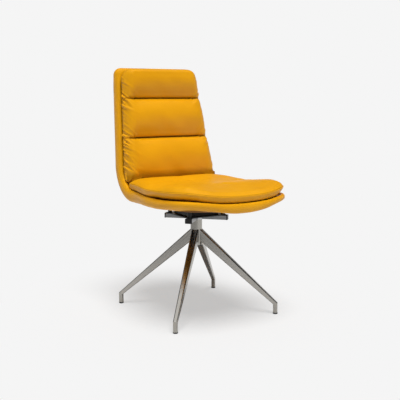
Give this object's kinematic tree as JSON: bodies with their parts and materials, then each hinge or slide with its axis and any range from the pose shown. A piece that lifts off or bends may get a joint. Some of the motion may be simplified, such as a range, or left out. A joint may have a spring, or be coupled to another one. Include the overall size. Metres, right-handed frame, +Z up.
{
  "type": "swivel dining chair",
  "caption": "Padded dining chair whose one-piece seat and back shell turns on a short column with splayed tapered steel legs.",
  "frame": {"origin": "On the floor, at the middle of the whole chair's bounding box. The swivel axis is 18 mm ahead of it, at y = -0.018 m.", "axes": "+Z up along the swivel axis, -Y the way the sitter faces, +X to the sitter's left."},
  "size_m": [0.4786, 0.6807, 0.9051],
  "materials": {
    "brushed_steel": "brushed along the tube",
    "zinc_grey": "satin zinc plate",
    "plated_steel": "bright zinc plate",
    "black_paint": "satin black powder coat",
    "black_plastic": "moulded, matt",
    "bearing_plastic": "smooth self-lubricating plastic",
    "plywood": "moulded beech plywood, unfinished",
    "mustard_leather": "soft semi-gloss leather over foam"
  },
  "bodies": {
    "base": {"leg_front_left": "brushed_steel", "leg_front_right": "brushed_steel", "leg_rear_left": "brushed_steel", "leg_rear_right": "brushed_steel", "leg_stub_front_left": "brushed_steel", "leg_stub_front_right": "brushed_steel", "leg_stub_rear_left": "brushed_steel", "leg_stub_rear_right": "brushed_steel", "foot_glide_front_left": "black_plastic", "foot_glide_front_right": "black_plastic", "foot_glide_rear_left": "black_plastic", "foot_glide_rear_right": "black_plastic", "column_tube": "brushed_steel", "column_plug": "black_plastic", "upper_bush": "bearing_plastic", "lower_bush": "bearing_plastic"},
    "seat": {"support_arm_front_left": "zinc_grey", "support_arm_front_right": "zinc_grey", "support_arm_rear_left": "zinc_grey", "support_arm_rear_right": "zinc_grey", "arm_end_cap_front_left": "black_plastic", "arm_end_cap_front_right": "black_plastic", "arm_end_cap_rear_left": "black_plastic", "arm_end_cap_rear_right": "black_plastic", "spindle": "plated_steel", "retaining_washer": "plated_steel", "circlip": "plated_steel", "swivel_hub": "zinc_grey", "seat_plate": "black_paint", "plate_spacers": "black_plastic", "bolt_washers": "plated_steel", "mounting_bolts": "plated_steel", "tee_nuts": "plated_steel", "shell_core": "plywood", "shell_upholstery": "mustard_leather", "seat_cushion": "mustard_leather", "back_cushion": "mustard_leather"}
  },
  "joints": [
    {"name": "seat_swivel", "type": "hinge", "parent": "base", "child": "seat", "pos_m": [0, -0.018, 0.3], "axis": [0, 0, 1], "continuous": true}
  ]
}
